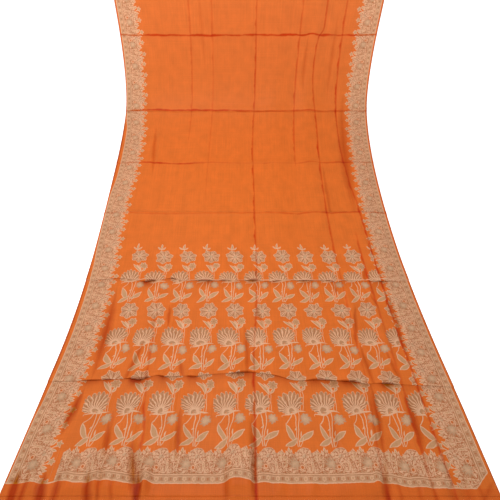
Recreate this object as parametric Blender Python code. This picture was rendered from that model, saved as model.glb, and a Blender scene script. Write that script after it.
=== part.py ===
"""A silk sari that hangs over a round wooden rail, its decorated end laid out on the floor.

The cloth starts at its decorated end on the floor, runs away from the viewer through two small
tucks, sweeps up, hangs in front of the rail, turns over it and hangs down behind.

Frame: metres, origin on the rail's axis at mid length, X across the cloth, -Y towards the decorated
end, +Z up. The cloth is one strip, drawn from the side as a path of arcs and carried across X.
"""
import math

import bmesh
import bpy
import numpy as np

# Sizes of the cloth and the rail, in metres
CLOTH_WIDTH = 1.143
CLOTH_LENGTH = 4.572
WALL = 0.0012
HEM_DEPTH = 0.008
HEM_WALL = 0.0024
SEAM_GAP = 0.0003
RAIL_HEIGHT = 1.70
RAIL_RADIUS = 0.016
RAIL_LENGTH = 1.30
RAIL_SIDES = 24

# The front of the cloth seen from the side, from the near hem to where it hangs plumb
FRONT_PATH = (
    # length, slope at its far end in degrees
    (0.350, 0.0),
    (0.290, 7.0),
    (0.220, 12.0),
    (0.390, 18.0),
    (0.140, 23.0),
    (0.140, 31.0),
    (0.120, 60.0),
    (0.100, 74.0),
    (0.100, 83.0),
    (0.100, 90.0),
)

# Tucks, where the cloth doubles back under itself
TUCK_RADIUS = 0.0013
TUCK_SETTLE = 0.10
TUCKS = (
    # place of the lip along the path, depth, node that holds the fold
    (0.321, 0.013, "pallu_far"),
    (0.670, 0.004, "field_floor"),
)

# The lip of the first tuck isn't straight: how far it comes forward, across the cloth
LIP_LINE = (
    # across in ninths of the half width, forward of its middle
    (-9, 0.031),
    (-7, 0.026),
    (-4, 0.016),
    (0, 0.000),
    (3, 0.024),
    (6, 0.036),
    (9, 0.047),
)
LIP_REACH = 0.16

# The cloth doesn't lie quite straight: its middle drifts to the left and back
DRIFT = 0.022
DRIFT_MIDDLE = 1.25
DRIFT_REACH = 1.05

# Ripples that run in from the near hem
HEM_RIPPLES = (
    # across, half width, height, reach from the hem
    (-0.352, 0.050, 0.009, 0.17),
    (-0.245, 0.036, 0.005, 0.12),
    (-0.022, 0.046, 0.013, 0.20),
    (0.300, 0.070, 0.006, 0.16),
    (0.470, 0.050, 0.005, 0.12),
)

# Long soft ridges along the cloth
LONG_RIDGES = (
    # across, half width, height, starts along the path, ends
    (-0.440, 0.12, 0.005, 0.45, 2.90),
    (-0.200, 0.10, 0.004, 0.90, 2.20),
    (0.130, 0.09, 0.005, 0.55, 2.60),
    (0.285, 0.08, 0.007, 0.80, 2.95),
    (0.460, 0.10, 0.006, 0.40, 2.40),
    (-0.330, 0.12, 0.006, 3.15, 4.70),
    (-0.020, 0.10, 0.005, 3.40, 4.70),
    (0.340, 0.13, 0.007, 3.20, 4.70),
)
RIDGE_FADE = 0.25

# Creases across the cloth, left by its folds in storage
CROSS_CREASES = (
    # place along the path, height, half width
    (0.980, 0.0025, 0.014),
    (1.264, 0.0020, 0.014),
    (1.548, 0.0030, 0.014),
    (1.908, 0.0025, 0.014),
)
RAIL_CALM = 0.06

# Steps of the mesh
COLUMNS = 18
PALLU_COLUMNS = 36
TURN_STEPS = 5
PALLU_STEP = 0.036
FLAT_STEP = 0.050
SWEEP_STEP = 0.045
HANG_STEP = 0.120
HEM_ROWS = 5
HEM_SIDE = 0.95
SETTLE_ROWS = (0.3, 0.6, 1.0)
PATH_STEP = 0.00025
ROW_ROOM = 0.35
SHARP_ANGLE = math.radians(50)

# Where the stretches part, past a tuck's turn, a crease or the rail
TUCK_SEAM = 0.002
CREASE_SEAM = 0.02
RAIL_SEAM = 0.02

# Colours of the materials
FIELD_COLOUR = (0.76, 0.16, 0.033)
PALLU_COLOUR = (0.62, 0.23, 0.095)
HEM_COLOUR = (0.55, 0.12, 0.025)
RAIL_COLOUR = (0.48, 0.30, 0.16)
SILK_ROUGHNESS = 0.5
HEM_ROUGHNESS = 0.6
RAIL_ROUGHNESS = 0.45

FRONT_LENGTH = sum(length for length, slope in FRONT_PATH)
BEND_RADIUS = RAIL_RADIUS + SEAM_GAP + WALL / 2
TUCK_TURN = math.pi * TUCK_RADIUS


def smooth(x):
    """A soft step: 0 below 0, 1 above 1, level at both ends."""
    x = np.clip(x, 0.0, 1.0)
    return x * x * (3.0 - 2.0 * x)


def hump(x, half_width):
    """A raised cosine, 1 at 0 and 0 from half_width on."""
    return 0.5 + 0.5 * np.cos(math.pi * np.clip(x / half_width, -1.0, 1.0))


def tuck_hidden(depth):
    """The cloth that one tuck takes up."""
    return 2.0 * depth + 2.0 * TUCK_TURN


def tuck_starts():
    """For each tuck, the cloth length at which its back turn begins, and its depth."""
    starts = []
    hidden = 0.0
    for lip, depth, node in TUCKS:
        back = lip + depth + TUCK_RADIUS + WALL / 2
        starts.append((back + hidden, depth))
        hidden += tuck_hidden(depth)
    return starts, hidden


STARTS, HIDDEN = tuck_starts()


def path_knots():
    """Places along the path and the slope there: the front's arcs, plumb up, the rail, plumb down."""
    places = [0.0]
    slopes = [0.0]
    for length, slope in FRONT_PATH:
        places.append(places[-1] + length)
        slopes.append(slope)
    steps = np.arange(0.0, FRONT_LENGTH, PATH_STEP) + PATH_STEP / 2
    rise = np.sum(np.sin(np.radians(np.interp(steps, places, slopes)))) * PATH_STEP
    climb = RAIL_HEIGHT - WALL / 2 - rise
    rail_start = FRONT_LENGTH + climb
    rail_end = rail_start + math.pi * BEND_RADIUS
    cloth_end = CLOTH_LENGTH - HIDDEN
    places += [rail_start, rail_end, cloth_end]
    slopes += [90.0, -90.0, -90.0]
    return places, slopes


PLACES, SLOPES = path_knots()
RAIL_START, RAIL_END, PATH_END = PLACES[-3:]


def build_path():
    """The path as dense tables: place, slope, y and z, with the rail's axis at y = z = 0."""
    count = int(round(PATH_END / PATH_STEP))
    place = np.linspace(0.0, PATH_END, count + 1)
    middle = (place[1:] + place[:-1]) / 2
    step = place[1] - place[0]
    slope = np.radians(np.interp(middle, PLACES, SLOPES))
    y = np.concatenate(([0.0], np.cumsum(np.cos(slope)) * step))
    z = np.concatenate(([0.0], np.cumsum(np.sin(slope)) * step))
    y += -BEND_RADIUS - np.interp(RAIL_START, place, y)
    z += -np.interp(RAIL_START, place, z)
    return place, np.radians(np.interp(place, PLACES, SLOPES)), y, z


PATH_PLACE, PATH_SLOPE, PATH_Y, PATH_Z = build_path()


def fold_turn(length):
    """At a cloth length: place along the path, turn within a tuck, and lift off the path.

    A tuck turns by half a circle, runs back for its depth, and turns by half a circle again.
    Each turn lifts the cloth by twice the tuck's radius, and behind the tuck it settles down.
    """
    place = np.array(length, dtype=float)
    turn = np.zeros_like(place)
    lift = np.zeros_like(place)
    for start, depth in STARTS:
        run = np.clip(length - start, 0.0, 2.0 * TUCK_TURN + depth)
        first = np.clip(run, 0.0, TUCK_TURN)
        back = np.clip(run - TUCK_TURN, 0.0, depth)
        second = np.clip(run - TUCK_TURN - depth, 0.0, TUCK_TURN)
        angle = (first - second) / TUCK_RADIUS
        forward = TUCK_RADIUS * (np.sin(first / TUCK_RADIUS) - np.sin(second / TUCK_RADIUS)) - back
        place += forward - run
        turn += angle
        lift += TUCK_RADIUS * (2.0 - np.cos(first / TUCK_RADIUS) - np.cos(second / TUCK_RADIUS))
        settled = smooth((length - start - 2.0 * TUCK_TURN - depth) / TUCK_SETTLE)
        lift -= 4.0 * TUCK_RADIUS * settled
    return place, turn, lift


def lip_shift(across, place):
    """How far the cloth near the first tuck is drawn forward, so that its lip isn't straight."""
    ninths, forward = zip(*LIP_LINE)
    near = smooth(1.0 - np.abs(place - TUCKS[0][0]) / LIP_REACH)
    return -np.interp(across / (CLOTH_WIDTH / 2) * 9, ninths, forward) * near


def drift(place):
    """How far the cloth's middle lies to the side, one soft swing along the path."""
    return -DRIFT * hump(place - DRIFT_MIDDLE, DRIFT_REACH)


def relief(across, place):
    """The height of ripples, ridges and creases over the smooth path."""
    height = np.zeros_like(place)
    for middle, half, rise, reach in HEM_RIPPLES:
        height += rise * hump(across - middle, half) * smooth(1.0 - place / reach)
    for middle, half, rise, start, end in LONG_RIDGES:
        fade = smooth((place - start) / RIDGE_FADE) * smooth((end - place) / RIDGE_FADE)
        height += rise * hump(across - middle, half) * fade
    for middle, rise, half in CROSS_CREASES:
        height += rise * np.clip(1.0 - np.abs(place - middle) / half, 0.0, 1.0)
    off_rail = np.maximum(RAIL_START - place, place - RAIL_END)
    return height * smooth(off_rail / RAIL_CALM)


def cloth_points(across, length, outward):
    """Points of the cloth, moved out from its middle surface by outward."""
    place, turn, lift = fold_turn(length)
    slope = np.interp(place, PATH_PLACE, PATH_SLOPE)
    raised = lift + relief(across, place)
    y = np.interp(place, PATH_PLACE, PATH_Y) - np.sin(slope) * raised
    z = np.interp(place, PATH_PLACE, PATH_Z) + np.cos(slope) * raised
    y += lip_shift(across, place)
    y -= np.sin(slope + turn) * outward
    z += np.cos(slope + turn) * outward
    return np.stack((across + drift(place), y, z), axis=-1)


def settled_length(place):
    """The cloth length at a place along the path that lies outside the tucks."""
    length = place
    for (start, depth), (lip, lip_depth, node) in zip(STARTS, TUCKS):
        if place > lip:
            length += tuck_hidden(depth)
    return length


def even_rows(start, end, step):
    """Rows from start to end at even steps no longer than step."""
    count = max(1, math.ceil((end - start) / step - 0.001))
    return np.linspace(start, end, count + 1)


def tuck_rows(start, depth):
    """Rows round the two turns of a tuck and where the cloth has settled behind it."""
    first = even_rows(start, start + TUCK_TURN, TUCK_TURN / TURN_STEPS)
    second = first + TUCK_TURN + depth
    settle = second[-1] + TUCK_SETTLE * np.array(SETTLE_ROWS)
    return np.concatenate((first, second, settle))


def crease_rows(low, high):
    """Rows on the top and feet of each crease between two cloth lengths."""
    rows = []
    for place, rise, half in CROSS_CREASES:
        middle = settled_length(place)
        if low < middle < high:
            rows += [middle - half, middle, middle + half]
    return np.array(rows)


def crease_end(index):
    """The cloth length a little past a crease, where one stretch ends."""
    return settled_length(CROSS_CREASES[index][0]) + CREASE_SEAM


def rail_rows():
    """Rows round the rail, one on each of its corners."""
    step = (RAIL_END - RAIL_START) / (RAIL_SIDES // 2)
    return even_rows(settled_length(RAIL_START), settled_length(RAIL_END), step)


def merged_rows(wanted, kept, room):
    """Even rows joined with rows that have to be kept, without any even row close to those."""
    ends = wanted[[0, -1]]
    free = [row for row in wanted[1:-1] if kept.size == 0 or np.min(np.abs(kept - row)) > room]
    inside = kept[(kept > ends[0]) & (kept < ends[1])]
    return np.unique(np.concatenate((ends, free, inside)))


def strip_mesh(name, rows, columns, thickness=WALL):
    """A closed wall: an upper and a lower grid of the cloth's points, joined round their edge.

    The lower side is the cloth's own, so a thicker wall grows upwards only.
    """
    thickness = np.broadcast_to(thickness, rows.shape)
    across = np.linspace(-CLOTH_WIDTH / 2, CLOTH_WIDTH / 2, columns + 1)
    across, length = np.meshgrid(across, rows)
    upper = cloth_points(across, length, thickness[:, None] - WALL / 2)
    lower = cloth_points(across, length, -WALL / 2)
    points = np.concatenate((upper.reshape(-1, 3), lower.reshape(-1, 3)))
    number = np.arange(rows.size * (columns + 1)).reshape(rows.size, columns + 1)
    under = number + number.size
    faces = grid_faces(number) + [face[::-1] for face in grid_faces(under)]
    rim = np.concatenate((number[0, :-1], number[:-1, -1], number[-1, :0:-1], number[:0:-1, 0]))
    for here, there in zip(rim, np.roll(rim, -1)):
        faces.append((here, here + number.size, there + number.size, there))
    mesh = bpy.data.meshes.new(name)
    mesh.from_pydata(points.tolist(), [], [tuple(int(i) for i in face) for face in faces])
    mesh.shade_smooth()
    mesh.set_sharp_from_angle(angle=SHARP_ANGLE)
    return mesh


def grid_faces(number):
    """The four-cornered faces of a grid of point numbers, facing up."""
    corners = (number[:-1, :-1], number[:-1, 1:], number[1:, 1:], number[1:, :-1])
    return list(zip(*(corner.ravel() for corner in corners)))


def add_object(name, mesh, material):
    piece = bpy.data.objects.new(name, mesh)
    piece.data.materials.append(material)
    bpy.context.scene.collection.objects.link(piece)
    return piece


def plain_material(name, colour, roughness):
    material = bpy.data.materials.new(name)
    material.use_nodes = True
    shader = material.node_tree.nodes["Principled BSDF"]
    shader.inputs["Base Color"].default_value = (*colour, 1.0)
    shader.inputs["Roughness"].default_value = roughness
    shader.inputs["Metallic"].default_value = 0.0
    return material


def make_hem(name, start, end, columns):
    """A rolled hem: a thicker strip whose upper side is round from edge to edge."""
    rows = np.linspace(start, end, HEM_ROWS)
    round_top = np.sqrt(1.0 - np.linspace(-HEM_SIDE, HEM_SIDE, rows.size) ** 2)
    thickness = WALL / 2 + (HEM_WALL - WALL / 2) * round_top
    material = plain_material(name, HEM_COLOUR, HEM_ROUGHNESS)
    return add_object(name, strip_mesh(name, rows, columns, thickness), material)


def make_stretch(name, start, end, step, columns, kept, colour):
    """One stretch of the cloth between two cloth lengths."""
    rows = merged_rows(even_rows(start, end, step), kept, step * ROW_ROOM)
    material = plain_material(name, colour, SILK_ROUGHNESS)
    return add_object(name, strip_mesh(name, rows, columns), material)


def make_cloth():
    """Every stretch of the cloth, each parted from the next by the seam gap."""
    stretches = (
        # node, end, longest step, columns, colour
        ("pallu_near", STARTS[0][0] - TUCK_SEAM, PALLU_STEP, PALLU_COLUMNS, PALLU_COLOUR),
        ("pallu_far", STARTS[1][0] - TUCK_SEAM, FLAT_STEP, COLUMNS, PALLU_COLOUR),
        ("field_floor", crease_end(0), FLAT_STEP, COLUMNS, FIELD_COLOUR),
        ("field_sweep", crease_end(2), SWEEP_STEP, COLUMNS, FIELD_COLOUR),
        ("field_front", settled_length(RAIL_START) - RAIL_SEAM, SWEEP_STEP, COLUMNS, FIELD_COLOUR),
        ("field_over_rail", settled_length(RAIL_END) + RAIL_SEAM, SWEEP_STEP, COLUMNS, FIELD_COLOUR),
        ("field_back", CLOTH_LENGTH - HEM_DEPTH, HANG_STEP, COLUMNS, FIELD_COLOUR),
    )
    tucks = {node: tuck_rows(*start) for start, (lip, depth, node) in zip(STARTS, TUCKS)}
    make_hem("near_hem", 0.0, HEM_DEPTH - SEAM_GAP / 2, PALLU_COLUMNS)
    start = HEM_DEPTH
    for name, end, step, columns, colour in stretches:
        kept = np.concatenate((tucks.get(name, ()), crease_rows(start, end)))
        if name == "field_over_rail":
            kept = rail_rows()
        make_stretch(name, start + SEAM_GAP / 2, end - SEAM_GAP / 2, step, columns, kept, colour)
        start = end
    make_hem("far_hem", start + SEAM_GAP / 2, CLOTH_LENGTH, COLUMNS)


def make_rail():
    """A plain round pole along X, with a flat end on each side."""
    mesh = bpy.data.meshes.new("rail")
    shape = bmesh.new()
    bmesh.ops.create_cone(shape, cap_ends=True, cap_tris=False, segments=RAIL_SIDES,
                          radius1=RAIL_RADIUS, radius2=RAIL_RADIUS, depth=RAIL_LENGTH)
    shape.to_mesh(mesh)
    shape.free()
    mesh.shade_smooth()
    mesh.set_sharp_from_angle(angle=SHARP_ANGLE)
    rail = add_object("rail", mesh, plain_material("rail", RAIL_COLOUR, RAIL_ROUGHNESS))
    rail.rotation_euler = (0.0, math.radians(90.0), 0.0)
    return rail


def main():
    for item in list(bpy.data.objects):
        bpy.data.objects.remove(item, do_unlink=True)
    make_cloth()
    make_rail()


main()
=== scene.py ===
import math

import bpy
import numpy as np
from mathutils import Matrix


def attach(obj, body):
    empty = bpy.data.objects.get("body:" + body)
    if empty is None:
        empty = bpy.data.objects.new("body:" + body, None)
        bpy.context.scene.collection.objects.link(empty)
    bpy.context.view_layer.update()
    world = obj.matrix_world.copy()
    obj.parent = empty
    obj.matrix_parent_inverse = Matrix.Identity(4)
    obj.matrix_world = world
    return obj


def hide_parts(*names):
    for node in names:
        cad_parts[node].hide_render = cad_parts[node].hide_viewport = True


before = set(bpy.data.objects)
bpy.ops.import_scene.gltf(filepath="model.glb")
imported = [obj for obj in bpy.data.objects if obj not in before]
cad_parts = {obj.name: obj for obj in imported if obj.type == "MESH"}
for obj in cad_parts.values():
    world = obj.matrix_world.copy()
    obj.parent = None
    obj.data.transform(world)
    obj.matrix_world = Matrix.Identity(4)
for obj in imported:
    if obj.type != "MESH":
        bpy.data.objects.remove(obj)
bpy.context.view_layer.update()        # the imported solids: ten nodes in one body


def metres(*rows):
    """A table given in mm, as an array in metres."""
    return np.array(rows) / 1000


def creases(*lines):
    """Lines given by two places in mm and a strength at each point, with the places in metres."""
    return [np.array(line) / (1000, 1000, 1) for line in lines]


# Sizes of the cloth and the pole, in metres, as the solids have them
CLOTH_WIDTH = 1.143
CLOTH_LENGTH = 4.572
HALF_WIDTH = CLOTH_WIDTH / 2
WALL = 0.0012
HEM_DEPTH = 0.008
SEAM_GAP = 0.0003
RAIL_HEIGHT = 1.70
RAIL_RADIUS = 0.016
RAIL_LENGTH = 1.30

# The silk is thinner than the solids' wall, and its stretches nearly touch
SILK = 0.0007
SILK_GAP = 0.00002

# The front of the cloth seen from the side, from the near hem to where it hangs plumb
FRONT_PATH = (
    # length, slope at its far end in degrees
    (0.350, 0.0),
    (0.290, 7.0),
    (0.220, 12.0),
    (0.390, 18.0),
    (0.140, 23.0),
    (0.140, 31.0),
    (0.120, 60.0),
    (0.100, 74.0),
    (0.100, 83.0),
    (0.100, 90.0),
)
FRONT_LENGTH = sum(length for length, slope in FRONT_PATH)
PATH_STEP = 0.00025
BEND_RADIUS = RAIL_RADIUS + SEAM_GAP + WALL / 2

# Tucks, where the cloth doubles back under itself
TUCK_RADIUS = 0.0013
TUCK_TURN = math.pi * TUCK_RADIUS
TURN_STEPS = 8
TUCK_SETTLE = 0.10
TUCKS = (
    # place of the lip along the path, depth
    (0.321, 0.013),
    (0.670, 0.004),
)

# The lip of the first tuck isn't straight: how far it comes forward
LIP_LINE = metres(
    # across, forward of its middle
    (-571.5, 31),
    (-444.5, 26),
    (-254, 16),
    (0, 0),
    (190.5, 24),
    (381, 36),
    (571.5, 47),
)
LIP_REACH = 0.16

# Smaller waves in the lip of each tuck
LIP_WAVES = (
    metres(
        # across, half width, forward
        (-315, 30, 5),
        (-268, 30, -6),
        (-157, 35, 5),
        (130, 75, 10),
        (330, 35, 4),
    ),
    metres(
        (-460, 70, -6),
        (-360, 35, 9),
        (-275, 45, -9),
        (-140, 80, 3),
        (85, 50, 8),
        (200, 70, 3),
        (310, 30, 11),
        (460, 140, 10),
    ),
)
WAVE_REACH = 0.035

# Where the lip of each tuck stands up from the cloth under it
LIP_PUFFS = (
    metres(
        # across, half width, height
        (-445, 45, 5),
        (-403, 18, 7),
        (-318, 42, 14),
        (-250, 22, 6),
        (-164, 24, 8),
        (-20, 50, 9),
        (90, 40, 3),
        (197, 55, 9),
        (280, 50, 9),
        (386, 30, 10),
    ),
    metres(
        (-347, 38, 11),
        (-262, 16, 5),
        (-150, 42, 10),
        (-84, 20, 5),
        (22, 30, 11),
        (100, 16, 5),
        (205, 36, 6),
        (295, 14, 8),
        (468, 45, 4),
    ),
)
PUFF_REACH = 0.06

# The cloth's middle drifts to the left and back
DRIFT = 0.022
DRIFT_MIDDLE = 1.25
DRIFT_REACH = 1.05

# Folds with a flat top: across the cloth and along it, each runs from a foot up to a brow, on to
# the far brow and down to the far foot. They start flat at the near hem
FOLDS = metres(
    # across: foot, brow, brow, foot; along: foot, brow, brow, foot; aslant by metre, height
    (-575, -562, -545, -520, -1000, -500, 10, 100, 100, 6),
    (-500, -470, -420, -398, -1000, -500, 30, 130, 100, 9),
    (-394, -365, -310, -262, -1000, -500, 50, 170, 0, 13),
    (-262, -250, -246, -228, -1000, -500, 30, 120, 0, 13),
    (-70, -38, 0, 13, -1000, -500, 80, 240, 0, 18),
    (10, 22, 30, 48, -1000, -500, 20, 130, 80, 4),
    (50, 62, 66, 85, -1000, -500, 20, 100, 150, 3),
    (180, 270, 302, 318, -1000, -500, 50, 200, 0, 8),
    (330, 345, 352, 372, -1000, -500, 10, 90, 100, 3),
    (380, 412, 419, 428, -1000, -500, 10, 100, 60, 5),
    (445, 466, 474, 500, -1000, -500, 10, 100, 0, 3),
    (-375, -362, -352, -335, 50, 100, 220, 290, -100, 5),
    (-290, -275, -268, -245, 50, 90, 200, 270, -120, 6),
    (-200, -186, -180, -160, 50, 100, 240, 310, -60, 5),
    (305, 318, 322, 345, 50, 100, 260, 310, 0, 5),
    (400, 422, 426, 440, 50, 100, 260, 310, 0, 4),
    (-330, -315, -308, -285, 360, 420, 500, 580, 100, 6),
    (-265, -255, -250, -225, 420, 460, 530, 580, 0, 7),
    (325, 340, 346, 370, 360, 420, 600, 660, 0, 5),
    (405, 418, 424, 440, 360, 400, 600, 660, 0, 5),
)
HEM_RISE = 0.028

# The silk's own folds lie flatter than the solid's
FOLD_PRESS = 0.3

# The print near the hem runs aslant at the right, and lies further in where the silk buckles
END_SLANT = 0.011
END_TURN = 0.33
END_SOFTNESS = 0.05
END_REACH = 0.22
END_WAVES = metres(
    # across, half width, how far
    (-515, 30, 4),
    (-440, 35, 7),
    (-334, 45, 5),
    (-244, 22, 6),
    (-30, 50, 9),
    (34, 30, 4),
    (298, 14, 4),
    (392, 45, 4),
)

# Long soft ridges along the cloth
LONG_RIDGES = metres(
    # across, half width, height, starts along the path, ends
    (-440, 120, 5, 450, 2900),
    (-200, 100, 4, 900, 2200),
    (130, 90, 5, 550, 2600),
    (285, 80, 7, 800, 2950),
    (460, 100, 6, 400, 2400),
    (-330, 120, 6, 3150, 4700),
    (-20, 100, 5, 3400, 4700),
    (340, 130, 7, 3200, 4700),
)
RIDGE_FADE = 0.25

# Ridges across the cloth, left by its folds in storage
CROSS_CREASES = metres(
    # place along the path, height
    (992, 2),
    (1280, 2),
    (1582, 2.5),
    (1900, 2.5),
)
CROSS_HALF = 0.014
RAIL_CALM = 0.06

# Sharp creases in the silk: across the cloth, and along it. Each is a line through its points
CREASES_ACROSS = creases(
    # across, length along the cloth, strength
    ((-570, 1952, 0.9), (-200, 1947, 1.2), (100, 1949, 1.2), (240, 1949, 1.7), (280, 1953, 1.6),
     (330, 1948, 1.1), (570, 1952, 1.1)),
    ((-570, 1624, 1.0), (-250, 1626, 1.3), (0, 1624, 1.0), (120, 1620, 0.6), (260, 1624, 0.8),
     (400, 1621, 0.5), (570, 1625, 0.8)),
    ((-570, 1322, 0.4), (-460, 1326, 0.7), (-380, 1324, 1.2), (-250, 1320, 0.9),
     (-150, 1326, 0.4), (200, 1322, 0.3), (350, 1328, 0.6), (570, 1324, 0.5)),
    ((-570, 1046, 0.3), (-300, 1040, 0.4), (0, 1044, 0.3), (180, 1040, 0.6), (380, 1045, 0.7),
     (570, 1042, 0.5)),
    ((-570, 2750, 0.6), (-100, 2742, 0.9), (250, 2752, 0.6), (570, 2746, 0.8)),
    ((-570, 3300, 0.8), (-200, 3309, 0.6), (150, 3300, 0.9), (570, 3306, 0.6)),
    ((-570, 3920, 0.7), (-250, 3912, 0.9), (200, 3921, 0.6), (570, 3915, 0.9)),
)
CREASES_ALONG = creases(
    # length along the cloth, across, strength
    ((0, 16, 0.9), (120, 13, 1.1), (340, 12, 0.8), (550, 25, 0.7), (1150, 37, 0.8),
     (1450, 32, 0.8), (1750, 37, 0.9), (2050, 32, 0.6), (3300, 30, 0.6), (4570, 20, 0.5)),
    ((0, 315, 0.8), (60, 314, 0.5), (270, 330, 0.4), (900, 331, 0.7), (1100, 330, 0.8),
     (1470, 331, 0.9), (1630, 322, 0.8), (1700, 315, 0.7), (1840, 305, 0.8), (1950, 318, 0.9),
     (2000, 334, 0.7), (3050, 325, 0.5), (4570, 310, 0.7)),
    ((1300, 222, 0.0), (1400, 223, 0.6), (1700, 226, 0.7), (1950, 229, 0.6), (2200, 231, 0.0)),
    ((0, 468, 0.5), (400, 470, 0.9), (800, 469, 1.0), (1250, 445, 0.7), (1630, 423, 0.9),
     (2300, 415, 0.5), (3200, 425, 0.7), (4570, 440, 0.5)),
    ((30, 421, 0.0), (150, 423, 0.7), (450, 430, 0.4), (750, 428, 0.8), (950, 426, 0.0)),
    ((1450, -262, 0.0), (1600, -260, 0.4), (1950, -258, 0.5), (2600, -262, 0.3),
     (4570, -270, 0.5)),
    ((1000, -166, 0.0), (1400, -164, 0.3), (1900, -160, 0.4), (2500, -165, 0.0)),
    ((100, -268, 0.0), (160, -272, 0.7), (260, -290, 0.6), (500, -300, 0.3), (950, -310, 0.0)),
)
CREASE_NOTCH = 0.0016
NOTCH_HALF = 0.010

# Soft valleys: the tail where the silk is pinched by a fold or dips between two
VALLEYS = metres(
    # start: across, along the cloth; end: across, along; half width, bow to the right, depth
    (-452, 675, -446, 319, 26, 3, 8),
    (-263, 605, -259, 505, 10, 0, 6),
    (-309, 565, -304, 494, 10, 0, 5),
    (-322, 478, -358, 304, 13, 2, 7),
    (-210, 400, -188, 333, 12, 0, 6),
    (-14, 535, -8, 324, 13, -4, 6),
    (20, 620, 56, 495, 10, 3, 5),
    (-459, 275, -482, 135, 19, 2, 10),
    (-369, 184, -349, 78, 14, 0, 7),
    (-362, 209, -357, 150, 9, 0, 3),
    (-297, 254, -284, 150, 10, 2, 3),
    (-296, 142, -250, -30, 18, 3, 9),
    (-186, 221, -179, 70, 12, 0, 7),
    (4, 250, 13, -60, 11, -2, 5),
    (303, 695, 305, 635, 9, 0, 5),
    (299, 565, 324, 505, 10, 0, 5),
    (359, 600, 329, 438, 12, 3, 6),
    (416, 650, 434, 580, 9, 0, 4),
    (425, 790, 414, 690, 9, 0, 5),
    (484, 660, 473, 380, 15, 2, 7),
    (338, 464, 354, 286, 12, 2, 6),
    (414, 436, 426, 312, 10, 0, 6),
    (216, 204, 220, 90, 8, 0, 4),
    (339, 303, 326, 70, 13, -3, 8),
    (328, 100, 309, -40, 12, 0, 6),
    (430, 263, 423, 78, 14, -3, 8),
    (-378, 66, -364, -40, 18, 0, 10),
    (-350, 70, -342, -40, 9, 0, 5),
    (-486, 66, -472, -40, 19, 0, 12),
    (-450, 60, -442, -40, 14, 0, 8),
    (-549, 70, -535, -45, 16, 0, 14),
    (-526, 66, -516, -45, 12, 0, 8),
    (-264, 70, -252, -40, 14, 0, 13),
    (-60, 64, -52, -30, 12, 0, 4),
    (10, 66, 14, -45, 10, 0, 3),
    (-323, 55, -311, -25, 9, 0, 4),
    (346, 52, 338, -34, 8, 0, 4),
    (312, 60, 308, -40, 12, 0, 7),
    (392, 60, 386, -34, 10, 0, 3),
    (422, 60, 422, -34, 9, 0, 6),
    (464, 55, 458, -34, 12, 0, 4),
    (498, 70, 500, -40, 22, 0, 3),
    (530, 64, 528, -40, 12, 0, 4),
    (524, 10, 571, 52, 10, 0, 4),
    (455, 1720, 442, 1000, 38, 0, 6),
    (345, 1330, 352, 930, 13, 4, 4),
    (268, 1960, 262, 1700, 14, 3, 3),
    (385, 2050, 378, 1660, 14, -3, 3),
    (-420, 1560, -400, 1240, 14, 3, 4),
    (-215, 2150, -195, 1780, 14, 0, 2),
    (-330, 3350, -350, 4200, 20, 6, 6),
    (60, 3500, 90, 4520, 22, -6, 7),
    (240, 3150, 225, 3900, 18, 4, 5),
    (410, 3300, 440, 4480, 20, 5, 6),
    (-150, 3750, -170, 4540, 20, 0, 6),
    (-470, 3600, -455, 4540, 18, 0, 6),
)
VALLEY_TAPER = 3.0

# Where the stretches part, past a tuck's turn, a crease or the pole
FLOOR_CREASE = 0.980
SWEEP_CREASE = 1.548
TUCK_SEAM = 0.002
CREASE_SEAM = 0.02
RAIL_SEAM = 0.02

# The rolled hems and their stitches
HEM_ROLL = 0.0006
HEM_STEPS = 8
HEM_COLUMN = 0.0035
STITCH_PITCH = 0.0055
STITCH_LENGTH = 0.0030
STITCH_LEAN = 0.0012
STITCH_RADIUS = 0.00018
STITCH_INSET = 0.0022
STITCH_STEPS = 4
STITCH_SIDES = 6

# The pole's rounded edge, and the tiny ring that closes each end
POLE_EDGE = 0.003
POLE_POINT = 0.0001
POLE_STEPS = 40
POLE_SIDES = 48

# The camera stands in front of the near hem, a metre above the floor
CAMERA_Y = -1.926
CAMERA_HEIGHT = 0.994
CAMERA_PITCH = math.radians(41.35)
CAMERA_LENS = 27.47
SENSOR = 36.0


# The print is drawn in mm on the flat cloth. A depth is how far a spot lies inside a shape, in
# units of the ink's reach
MM = 1000.0
INK_REACH = 4.0
NO_CAP = 100.0
CELL_WIDTH = 87.5
CELL_HEIGHT = 249.0

# Colours as a screen shows them
FIELD = (232, 118, 44)
# the field's colour under painted shade, where the cloth sweeps up and hangs
SHADED_FIELD = (218, 116, 57)
BAND = (229, 110, 39)
CREAM = (236, 185, 146)
TAN = (196, 136, 94)
OLIVE = (198, 143, 101)
LEAF = (209, 157, 112)
DUSK = (180, 106, 62)
PALE = (194, 150, 114)
BLOOM = (212, 170, 132)
GLOW = (212, 112, 50)
EARTH = (188, 100, 52)
THREAD = (226, 116, 44)
WOOD = (186, 148, 108)

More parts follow.
